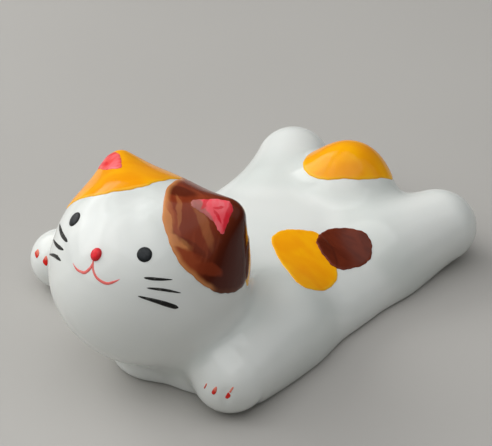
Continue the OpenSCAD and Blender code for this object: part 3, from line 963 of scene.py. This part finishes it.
YELLOW_BACK = [
    (-2.3, 2.75), (-4, 2.4), (-5, 2.7), (-5.9, 3.35), (-6.7, 4), (-7.4, 4.8), (-8.1, 6.2),
    (-7.4, 9.6), (-5.3, 12.3), (-4, 13.2), (-2, 13.7), (0.5, 13.8), (2.3, 13.1), (2.7, 12.2),
    (2.5, 11), (1, 7.75), (-0.6, 4.9),
]
BROWN_BACK = [
    (-7.3, 6.75), (-9.05, 6.4), (-11.1, 7.25), (-12.5, 9.2), (-12.8, 11.2), (-12.15, 12.8),
    (-10.8, 13.6), (-8.9, 13.5), (-6.4, 12.75), (-5.2, 11.5), (-5.3, 9.7), (-6.2, 7.8),
]

# Heights of the rim of the tail's cap in degrees, in even steps from the head's side by way of
# the left.
TAIL_RIM = [29.5, 37, 36.5, 31, 15, 12, 18, 25, 27, 26.5, 24.3, 23.7]

# Directions of the eyes and the nose from the head's middle, and their widths and heights.
LEFT_EYE, RIGHT_EYE, NOSE = (26, 16.9), (31.6, 16.7), (0, 6)
LEFT_EYE_SIZE, RIGHT_EYE_SIZE, NOSE_SIZE = (1.86, 1.88), (1.9, 2.0), (1.48, 1.68)

# Each stroke of a brush: the points on its way, and its widths from end to end.
LEFT_WHISKERS = [
    ([(-2.5, 1.12), (-0.9, 1.57), (0.8, 2.15)], (0.25, 0.43, 0.34, 0.12)),
    ([(-1.75, 0.12), (0.25, 0.63), (2.4, 0.98)], (0.18, 0.36, 0.35, 0.12)),
    ([(-2.35, -1.2), (0.15, -0.96), (2.85, -0.86)], (0.2, 0.45, 0.64, 0.56)),
]
RIGHT_WHISKERS = [
    ([(-3.7, 0.9), (-1, 1.3), (1.85, 1.95)], (0.42, 0.62, 0.58, 0.22)),
    ([(-3.65, -0.22), (-1.65, -0.3), (1.5, -0.17)], (0.22, 0.53, 0.48, 0.2)),
    ([(-3.77, -1.57), (-1.8, -1.56), (1.35, -2.1)], (0.22, 0.56, 0.42, 0.16)),
]
MOUTH = [
    ([(-0.1, 0.78), (0, 0.41), (0.17, 0), (0.48, -0.56), (1.2, -1.15), (2.1, -1.36),
      (2.9, -1.24), (3.63, -0.65), (4.1, -0.13)], (0.2, 0.26, 0.3, 0.34, 0.38, 0.34, 0.1)),
    ([(-0.06, 0.6), (0.07, 0.09), (-0.07, -0.6), (-0.55, -1.28), (-1.2, -1.44), (-2, -1.4),
      (-2.95, -0.97)], (0.2, 0.32, 0.4, 0.4, 0.34, 0.28, 0.1)),
]

# Outlines of the marks in millimetres round and up the paw.
LEFT_MARKS = [
    [(-1.3, 0.81), (-1.1, 1.05), (-0.97, 1.52), (-1.04, 1.69), (-1.19, 1.57), (-1.28, 1.17)],
    [(0.45, 1.8), (0.58, 1.54), (0.53, 1.06), (0.34, 0.68), (0.08, 0.59), (-0.09, 0.81),
     (0.01, 1.23), (0.22, 1.6)],
    [(2.11, 1.2), (2.35, 0.93), (2.38, 0.68), (2.21, 0.39), (1.93, 0.22), (1.69, 0.38),
     (1.8, 0.7), (1.96, 1.04)],
    [(2.2, 1.25), (2.44, 1.2), (2.55, 1.45), (2.77, 1.81), (2.76, 2.01), (2.5, 1.85),
     (2.32, 1.55)],
]
RIGHT_MARKS = [
    [(2.13, 2.94), (2.87, 2.71), (3.09, 2.29), (2.92, 1.81), (2.34, 1.92), (1.86, 2.23),
     (1.94, 2.62)],
    [(4.6, 2.85), (5.02, 2.46), (5.21, 1.85), (5.07, 1.45), (4.62, 1.59), (4.3, 1.89),
     (4.36, 2.43)],
]
# Heights on the paw between which its marks grow pale.
LEFT_FADE, RIGHT_FADE = (0.95, 1.55), (2.0, 2.8)

# Dabs of a brush in a sheet's own outline coordinates: middle, turn in degrees, half length
# and width, tone and strength.
BROWN_DABS = [
    ((-2.7, 2.3), 84, (4.4, 1.7), "full", 0.8),
    ((-2.6, -2.5), -28, (3.2, 1.4), "warm", 0.6),
    ((-3.3, 6.5), -10, (2.4, 1.4), "deep", 0.7),
    ((0.4, 6.6), -38, (4.4, 1.1), "deep", 0.35),
    ((-5.3, 2.0), 94, (4.8, 1.3), "thin", 0.85),
    ((-4.2, -0.8), -16, (2.8, 0.8), "thin", 0.75),
    ((-4.35, 2.2), -74, (3.8, 0.5), "warm", 0.75),
    ((-3.75, 3.2), 91, (3.0, 0.36), "thin", 0.35),
    ((-0.8, 1.8), -62, (4.0, 0.75), "thin", 0.26),
    ((0.9, -3.2), 4, (2.6, 0.9), "full", 0.8),
    ((-1.9, -1.1), -22, (2.6, 0.65), "deep", 0.4),
]
NEAR_LINING_DABS = [
    ((-2.1, 4.3), -30, (1.6, 1.3), "veil", 0.9),
    ((-1.0, 3.4), -42, (2.2, 0.5), "veil", 0.7),
    ((1.85, 3.3), 84, (2.4, 0.55), "deep", 0.85),
    ((-0.9, 4.6), 65, (1.2, 0.3), "deep", 0.7),
    ((0.55, 4.2), 20, (0.8, 0.24), "deep", 0.8),
    ((0.6, 3.1), -50, (1.2, 0.24), "deep", 0.85),
]
FAR_LINING_DABS = [
    # The pale dab is a painted highlight.
    ((-1.2, 4.0), 30, (1.6, 0.8), "pale", 0.5),
    ((0.9, 3.0), -20, (1.4, 0.4), "deep", 0.7),
    ((1.9, 4.2), -60, (1.2, 0.4), "deep", 0.6),
]


# ---------------------------------------------------------------- settings

def length(name, description, default):
    """A size in metres."""
    return bpy.props.FloatProperty(
        name=name, description=description, default=default, min=0.0, soft_max=0.01,
        precision=5, subtype="DISTANCE", unit="LENGTH")


def colour(name, description, default):
    """A colour of the paint box."""
    return bpy.props.FloatVectorProperty(
        name=name, description=description, default=default, size=3, min=0.0, max=1.0,
        subtype="COLOR")


def radiance(name, description, default):
    """How bright a lamp looks."""
    return bpy.props.FloatProperty(name=name, description=description, default=default, min=0.0)


class GlazeSettings(bpy.types.PropertyGroup):
    grid: length("Net spacing", "Distance between the points of the glaze's mesh", 0.00036)
    leg_fillet: length("Leg fillet", "Reach of the smooth run from a leg to the body", 0.005)
    chest_fillet: length("Chest fillet", "Reach of the run from the chest to the body", 0.0014)
    tail_fillet: length("Tail fillet", "Reach of the run from the tail to the rump", 0.0045)
    ear_fillet: length("Ear fillet", "Reach of the run from an ear to the head", 0.0022)
    neck_fillet: length("Neck fillet", "Reach of the run from the head to the body", 0.0012)
    foot_rounding: length("Foot rounding", "Rounding where the bare foot meets the glaze", 0.0006)
    colour: colour("Glaze", "White of the glaze", srgb(232, 235, 232))
    shade_colour: colour("Glaze, cooler", "Cooler tone in slow clouds", srgb(227, 231, 228))
    pool_colour: colour("Glaze, pooled", "Tint of thick glaze in a crease", srgb(212, 218, 214))
    foot_colour: colour("Bare foot", "Unglazed clay under the figure", srgb(222, 216, 204))


class EnamelSettings(bpy.types.PropertyGroup):
    thickness: length("Enamel thickness", "How far fired colour stands above the glaze", 0.0001)
    rim: length("Enamel rim", "Width over which an edge of colour rounds down", 0.0003)
    eye_relief: length("Eye relief", "How far an eye stands out", 0.00026)
    nose_relief: length("Nose relief", "How far the nose stands out", 0.00045)
    yellow_full: colour("Yellow", "Yellow enamel", srgb(255, 178, 8))
    yellow_deep: colour("Yellow, thick", "Yellow where it lies thick", srgb(246, 152, 6))
    yellow_thin: colour("Yellow, thin", "Yellow at its rim", srgb(255, 198, 46))
    brown_full: colour("Red-brown", "Red-brown enamel", srgb(132, 52, 26))
    # The thick red-brown is dark enough to stand also for painted shade on the near ear's far side.
    brown_deep: colour("Red-brown, thick", "Red-brown where it lies thick", srgb(76, 24, 8))
    brown_warm: colour("Red-brown, warm", "Warmer clouds in the red-brown", srgb(160, 76, 44))
    brown_thin: colour("Red-brown, thin", "Red-brown dragged thin", srgb(212, 140, 84))
    pink: colour("Ear lining", "Pink-red inside the ears", srgb(255, 92, 104))
    pink_deep: colour("Ear lining, strokes", "Stronger strokes in the ears", srgb(228, 28, 48))
    # Paler pink for the painted highlights inside the ears.
    pink_pale: colour("Ear lining, pale", "Paler places inside the ears", srgb(250, 132, 140))
    pink_veil: colour("Ear lining, veil", "Pink laid thin over red-brown", srgb(176, 112, 104))
    pink_far: colour("Ear lining on yellow", "Pink of the far ear", srgb(246, 86, 80))
    nose_red: colour("Nose", "Red of the nose", srgb(244, 50, 60))
    mouth_red: colour("Mouth", "Coral of the mouth", srgb(238, 114, 108))
    mouth_faint: colour("Mouth, faint", "Coral where the brush ran dry", srgb(236, 160, 156))
    mark_red: colour("Paw marks", "Red of the paw marks", srgb(214, 36, 28))
    mark_faint: colour("Paw marks, faint", "Paler upper ends of the marks", srgb(238, 138, 118))
    eye_grey: colour("Eyes", "Charcoal of the eyes", srgb(50, 54, 57))
    whisker_black: colour("Whiskers", "Black of the whiskers", srgb(26, 26, 24))
    whisker_faint: colour("Whiskers, faint", "Black where the brush ran dry", srgb(92, 92, 88))


class StageSettings(bpy.types.PropertyGroup):
    floor_colour: colour("Floor", "Colour of the plain floor", srgb(182, 180, 176))
    room_colour: colour("Room", "Colour of the even light in the room", srgb(245, 245, 243))
    room_light: radiance("Room light", "Strength of the even light", 0.11)
    window_light: radiance("Window light", "Radiance of the window at the camera's left", 1.55)
    surround_light: radiance("Window surround", "Radiance of the wall round the window", 0.85)
    side_light: radiance("Side light", "Radiance of the softbox at the side", 0.4)
    top_light: radiance("Top light", "Radiance of the softbox above", 1.12)
    front_light: radiance("Front light", "Radiance of the softbox over the camera", 0.35)


# ---------------------------------------------------------------- operators

GRID_MARGIN = 1.2  # how far the grid of the glaze goes past the solids
FOOT_HEIGHT = 0.12  # faces below this are bare clay
BROWN_COATS, MARK_COATS = 1.3, 0.8  # thickness of a colour beside that of the others
MARK_RIM = 0.15


class RestOperator:
    bl_options = {"REGISTER", "UNDO"}

    def settings(self, context):
        scene = context.scene
        return scene.rest_glaze, scene.rest_enamel, Clay(scene.rest_glaze)


class REST_OT_glazed_body(RestOperator, bpy.types.Operator):
    """The glazed skin over body, head, ears, legs and tail"""

    bl_idname = "rest.glazed_body"
    bl_label = "Glazed body"

    def execute(self, context):
        glaze, _, clay = self.settings(context)
        step = glaze.grid / MM
        low = np.array(CAD_BOX[0]) / MM - GRID_MARGIN
        high = np.array(CAD_BOX[1]) / MM + GRID_MARGIN
        axes = [np.arange(low[i], high[i] + step, step) for i in range(3)]
        y, z = np.meshgrid(axes[1], axes[2], indexing="ij")
        values = np.stack([
            clay(np.column_stack([np.full(y.size, x), y.ravel(), z.ravel()])).reshape(y.shape)
            for x in axes[0]])
        points, quads = surface_net(values, low, step)
        points = clay.settle(points)
        for _ in range(3):
            points = clay.settle(relaxed(points, quads), 2)
        points[:, 2] = np.maximum(points[:, 2], 0)
        finishes = [porcelain_finish(glaze), bisque_finish(glaze)]
        piece = add_mesh("glazed_body", points, quads, finishes, {"pool": clay.pooled(points)})
        foot = points[quads][:, :, 2].max(axis=1) < FOOT_HEIGHT
        piece.data.polygons.foreach_set("material_index", foot.astype(np.int32))
        finish_piece(
            piece, "glazed_porcelain", "torso", "head", "left_ear", "right_ear", *LEGS, "tail")
        return {"FINISHED"}


def ear_sheets(enamel):
    """The sheets of colour on the head, which lie over each other in this order."""
    near, far = HeadView(*EAR_VIEW, LEFT), HeadView(*EAR_VIEW, RIGHT)
    behind = HeadView(*NAPE_VIEW, start=NAPE_CLEAR)
    return {
        "yellow": painted(far, YELLOW_EAR, enamel, steps=12, wobble=0.04, phase=1.0, rings=30),
        "nape": painted(behind, NAPE, enamel, steps=12, wobble=0.05, phase=2.0, rings=18),
        "brown": painted(
            near, BROWN_EAR, enamel, steps=12, wobble=0.05, phase=3.0, rings=30, coats=BROWN_COATS),
        "near lining": painted(
            near, NEAR_LINING, enamel, steps=10, wobble=0.05, phase=4.0, rings=14),
        "far lining": painted(far, FAR_LINING, enamel, steps=10, wobble=0.04, phase=5.0, rings=14),
    }


class REST_OT_ear_patches(RestOperator, bpy.types.Operator):
    """The red-brown and yellow patches over the ears, and the yellow strip behind"""

    bl_idname = "rest.ear_patches"
    bl_label = "Ear patches"

    def execute(self, context):
        _, enamel, clay = self.settings(context)
        sheets = ear_sheets(enamel)
        yellow = yellow_finish("head", enamel, stretch=(0.5, 0.16), turn=0.5, rim=0.5)
        brown = ear_brown_finish(enamel)
        lay("right_ear_patch", "enamel", "yellow_enamel", clay, sheets["yellow"], yellow)
        lay("nape_patch", "enamel", "yellow_enamel", clay, sheets["nape"], yellow)
        lay("left_ear_patch", "enamel", "brown_enamel", clay, sheets["brown"], brown,
            (sheets["yellow"], sheets["nape"]))
        return {"FINISHED"}


class REST_OT_ear_linings(RestOperator, bpy.types.Operator):
    """The pink-red triangles inside the ears"""

    bl_idname = "rest.ear_linings"
    bl_label = "Ear linings"

    def execute(self, context):
        _, enamel, clay = self.settings(context)
        sheets = ear_sheets(enamel)
        pink = lining_finish("pink-red enamel", enamel, enamel.pink, NEAR_LINING_DABS)
        lay("left_ear_lining", "enamel", "pink_enamel", clay, sheets["near lining"], pink,
            (sheets["brown"],))
        pink = lining_finish("orange-pink enamel", enamel, enamel.pink_far, FAR_LINING_DABS)
        lay("right_ear_lining", "enamel", "pink_enamel", clay, sheets["far lining"], pink,
            (sheets["yellow"],))
        return {"FINISHED"}


class REST_OT_face_beads(RestOperator, bpy.types.Operator):
    """The eyes and the nose"""

    bl_idname = "rest.face_beads"
    bl_label = "Eyes and nose"

    def execute(self, context):
        _, enamel, clay = self.settings(context)
        charcoal = bead_finish(
            "charcoal enamel", enamel.eye_grey, rim_share=0.35, roughness=0.3)
        red = bead_finish("red enamel, nose", enamel.nose_red, rim_share=0.72, roughness=0.16)
        eye, nose = enamel.eye_relief / MM, enamel.nose_relief / MM
        for node, view, size, relief, slot, paint in (
                ("left_eye", HeadView(*LEFT_EYE), LEFT_EYE_SIZE, eye, "black_enamel", charcoal),
                ("right_eye", HeadView(*RIGHT_EYE, RIGHT), RIGHT_EYE_SIZE, eye, "black_enamel",
                 charcoal),
                ("nose", HeadView(*NOSE), NOSE_SIZE, nose, "red_enamel", red)):
            lay(node, "bead", slot, clay, bead(view, *size, relief), paint)
        return {"FINISHED"}


class REST_OT_mouth(RestOperator, bpy.types.Operator):
    """The mouth, a double curve under the nose"""

    bl_idname = "rest.mouth"
    bl_label = "Mouth"

    def execute(self, context):
        _, enamel, clay = self.settings(context)
        view = HeadView(0, 0)
        coral = stroke_finish(
            "coral enamel", enamel.mouth_red, enamel.mouth_faint, roughness=0.2)
        strokes = [
            stroke_points(view, clay, line, width, sunk=0.75, steps=48) for line, width in MOUTH]
        finish_piece(brush_strokes("mouth_strokes", strokes, coral), "red_enamel", "mouth")
        return {"FINISHED"}


class REST_OT_whiskers(RestOperator, bpy.types.Operator):
    """Three whiskers on each cheek"""

    bl_idname = "rest.whiskers"
    bl_label = "Whiskers"

    def execute(self, context):
        _, enamel, clay = self.settings(context)
        black = stroke_finish(
            "black enamel", enamel.whisker_black, enamel.whisker_faint, roughness=0.35)
        for name, side, lines in (("left", LEFT, LEFT_WHISKERS), ("right", RIGHT, RIGHT_WHISKERS)):
            view = HeadView(*CHEEK_VIEW, side)
            strokes = [stroke_points(view, clay, line, width, sunk=0.65) for line, width in lines]
            piece = brush_strokes(f"{name}_whisker_strokes", strokes, black)
            finish_piece(piece, "black_enamel", f"{name}_whiskers")
        return {"FINISHED"}


class REST_OT_back_patches(RestOperator, bpy.types.Operator):
    """The yellow and red-brown patches on the back"""

    bl_idname = "rest.back_patches"
    bl_label = "Back patches"

    def execute(self, context):
        _, enamel, clay = self.settings(context)
        view = TopView()
        yellow = painted(view, YELLOW_BACK, enamel, steps=10, wobble=0.04, phase=6.0, rings=22)
        brown = painted(
            view, BROWN_BACK, enamel, steps=12, wobble=0.06, phase=7.0, rings=20, coats=BROWN_COATS)
        paint = yellow_finish("back", enamel, stretch=(0.45, 0.2), turn=0.9, rim=0.5)
        lay("yellow_back_patch", "enamel", "yellow_enamel", clay, yellow, paint)
        tones = enamel.brown_deep, shade(enamel.brown_full, 0.62), enamel.brown_full
        paint = enamel_finish(
            "red-brown enamel, back", *tones, stretch=(0.8, 0.35), turn=0.3, rim=0.35,
            roughness=0.25)
        lay("brown_back_patch", "enamel", "brown_enamel", clay, brown, paint, (yellow,))
        return {"FINISHED"}


class REST_OT_tail_patch(RestOperator, bpy.types.Operator):
    """The yellow cap over the tail"""

    bl_idname = "rest.tail_patch"
    bl_label = "Tail patch"

    def execute(self, context):
        _, enamel, clay = self.settings(context)
        view = BallView(TAIL, TAIL_RADII.mean())
        cap = painted(view, view.rim(TAIL_RIM), enamel, steps=13, wobble=0.04, phase=8.0, rings=24)
        paint = yellow_finish("tail", enamel, stretch=(0.3, 0.12), turn=1.2, rim=0.6)
        lay("tail_patch", "enamel", "yellow_enamel", clay, cap, paint)
        return {"FINISHED"}


class REST_OT_paw_marks(RestOperator, bpy.types.Operator):
    """The red marks on the forepaws"""

    bl_idname = "rest.paw_marks"
    bl_label = "Paw marks"

    def execute(self, context):
        _, enamel, clay = self.settings(context)
        thickness = MARK_COATS * enamel.thickness / MM
        for side, marks, fade in (
                ("left", LEFT_MARKS, LEFT_FADE), ("right", RIGHT_MARKS, RIGHT_FADE)):
            view = PawView(f"{side}_foreleg")
            red = mark_finish(f"red enamel, {side} paw", enamel, *fade)
            drops = [
                Sheet(view, smooth_loop(mark, 6), thickness, MARK_RIM, rings=8) for mark in marks]
            piece = enamel_mesh(f"{side}_paw_mark_drops", clay, drops, red)
            finish_piece(piece, "red_enamel", f"{side}_paw_marks")
        return {"FINISHED"}


# ---------------------------------------------------------------- stage

CAMERA_PLACE = np.array([121.74, 110.80, 123.34])
CAMERA_DIRECTION = (42.3, 34.1, 1.3)  # azimuth, elevation and roll
FOCAL_PIXELS, IMAGE_WIDTH, SENSOR = 1449, 492, 36

FLOOR_RADIUS = 2500
LAMP_AIM = np.array([0, 0, 8])
WARM, COOL, WHITE = (1.0, 0.995, 0.98), (0.98, 0.99, 1.0), (1.0, 1.0, 1.0)
PLAIN, FADING = (1.0,), (1.0, 0.8, 0.6)  # shares of the size: nested lamps fade to the edges
# Name, setting, azimuth and elevation, distance, width and height, tint, and nested shares.
LAMPS = (
    ("window", "window_light", (-73, 34), 420, (470, 210), WARM, FADING),
    ("window surround", "surround_light", (-57, 34), 600, (1050, 640), WARM, PLAIN),
    ("side softbox", "side_light", (128, 42), 420, (320, 300), COOL, PLAIN),
    ("top softbox", "top_light", (0, 84), 450, (560, 560), WHITE, PLAIN),
    ("front softbox", "front_light", (40, 54), 450, (420, 420), WHITE, PLAIN),
)


def facing(azimuth, elevation, roll=0):
    """The direction of a lamp or camera from the figure, and its turn to look back."""
    a, e, r = (math.radians(d) for d in (azimuth, elevation, roll))
    back = np.array([math.cos(a) * math.cos(e), math.sin(a) * math.cos(e), math.sin(e)])
    right = np.array([-math.sin(a), math.cos(a), 0])
    up = np.cross(back, right)
    right, up = math.cos(r) * right + math.sin(r) * up, math.cos(r) * up - math.sin(r) * right
    return back, Matrix(np.column_stack([right, up, back]).tolist()).to_4x4()


def put_up(name, data, place, turn):
    """A lamp or camera at a place in millimetres."""
    holder = bpy.data.objects.new(name, data)
    bpy.context.scene.collection.objects.link(holder)
    holder.matrix_world = Matrix.Translation(place * MM) @ turn
    return holder


def softbox(name, direction, distance, size, glow, tint):
    """A soft rectangular lamp that faces the figure."""
    light = bpy.data.lights.new(name, "AREA")
    light.shape = "RECTANGLE"
    light.size, light.size_y = (side * MM for side in size)
    light.energy = glow * math.pi * light.size * light.size_y
    light.color = tint
    back, turn = facing(*direction)
    put_up(name, light, LAMP_AIM + distance * back, turn)


def floor_finish(stage):
    """Plain pale ground with a faint cloudiness."""
    f = Finish("plain floor")
    tone = f.span(f.noise(f.place(), 0.01), 0.3, 0.7)
    colour = f.mix(tone, stage.floor_colour, shade(stage.floor_colour, 0.96))
    grain = f.bump(f.noise(f.place(), 0.8, 3.0), distance=0.01, strength=0.3)
    return f.done(Base_Color=colour, Roughness=0.7, Normal=grain)


def even_light(stage):
    """Weak even light, in which the camera sees the floor's colour as the background."""
    world = bpy.data.worlds.new("even light")
    world.use_nodes = True
    n = Nodes(world.node_tree)
    even, seen = (
        n.node("ShaderNodeBackground", {0: (*tone, 1), 1: strength}).outputs[0]
        for tone, strength in ((stage.room_colour, stage.room_light), (stage.floor_colour, 1.0)))
    path = n.node("ShaderNodeLightPath").outputs["Is Camera Ray"]
    mixed = n.node("ShaderNodeMixShader", {0: path, 1: even, 2: seen}).outputs[0]
    n.node("ShaderNodeOutputWorld", {0: mixed})
    return world


class REST_OT_stage(RestOperator, bpy.types.Operator):
    """The floor, the lamps and the camera"""

    bl_idname = "rest.stage"
    bl_label = "Stage"

    def execute(self, context):
        scene, stage = context.scene, context.scene.rest_stage
        a = np.linspace(0, 2 * np.pi, 96, endpoint=False)
        rim = FLOOR_RADIUS * np.column_stack([np.cos(a), np.sin(a), np.zeros(len(a))])
        floor = add_mesh("floor", rim, [range(len(a))], [floor_finish(stage)])
        for name, setting, direction, distance, size, tint, shares in LAMPS:
            for share in shares:
                nested = [share * side for side in size]
                softbox(name, direction, distance, nested, getattr(stage, setting), tint)
        scene.world = even_light(stage)

        camera = bpy.data.cameras.new("camera")
        camera.sensor_fit, camera.sensor_width = "HORIZONTAL", SENSOR
        camera.lens = FOCAL_PIXELS / IMAGE_WIDTH * SENSOR
        camera.clip_start, camera.clip_end = 0.01, 10
        _, turn = facing(*CAMERA_DIRECTION)
        scene.camera = put_up("camera", camera, CAMERA_PLACE, turn)
        scene.view_settings.view_transform = "Standard"
        return {"FINISHED"}


# ---------------------------------------------------------------- add-on

# In the order in which the pieces are made.
OPERATORS = [
    REST_OT_glazed_body, REST_OT_ear_patches, REST_OT_ear_linings, REST_OT_face_beads,
    REST_OT_mouth, REST_OT_whiskers, REST_OT_back_patches, REST_OT_tail_patch,
    REST_OT_paw_marks, REST_OT_stage,
]
SETTINGS = {
    "rest_glaze": GlazeSettings, "rest_enamel": EnamelSettings, "rest_stage": StageSettings,
}


class REST_PT_panel(bpy.types.Panel):
    """Lists the pieces in the order in which they are made"""

    bl_label = "Chopstick rest"
    bl_idname = "REST_PT_panel"
    bl_space_type = "VIEW_3D"
    bl_region_type = "UI"
    bl_category = "Chopstick rest"

    def draw(self, context):
        for operator in OPERATORS:
            self.layout.operator(operator.bl_idname)
        for key, kind in SETTINGS.items():
            box = self.layout.box()
            for name in kind.__annotations__:
                box.prop(getattr(context.scene, key), name)


CLASSES = [*SETTINGS.values(), *OPERATORS, REST_PT_panel]


def register():
    for c in CLASSES:
        bpy.utils.register_class(c)
    for key, kind in SETTINGS.items():
        setattr(bpy.types.Scene, key, bpy.props.PointerProperty(type=kind))


def unregister():
    for key in SETTINGS:
        delattr(bpy.types.Scene, key)
    for c in reversed(CLASSES):
        bpy.utils.unregister_class(c)


def main():
    register()
    for operator in OPERATORS:
        group, name = operator.bl_idname.split(".")
        getattr(getattr(bpy.ops, group), name)()
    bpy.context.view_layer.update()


if __name__ == "__main__":
    main()
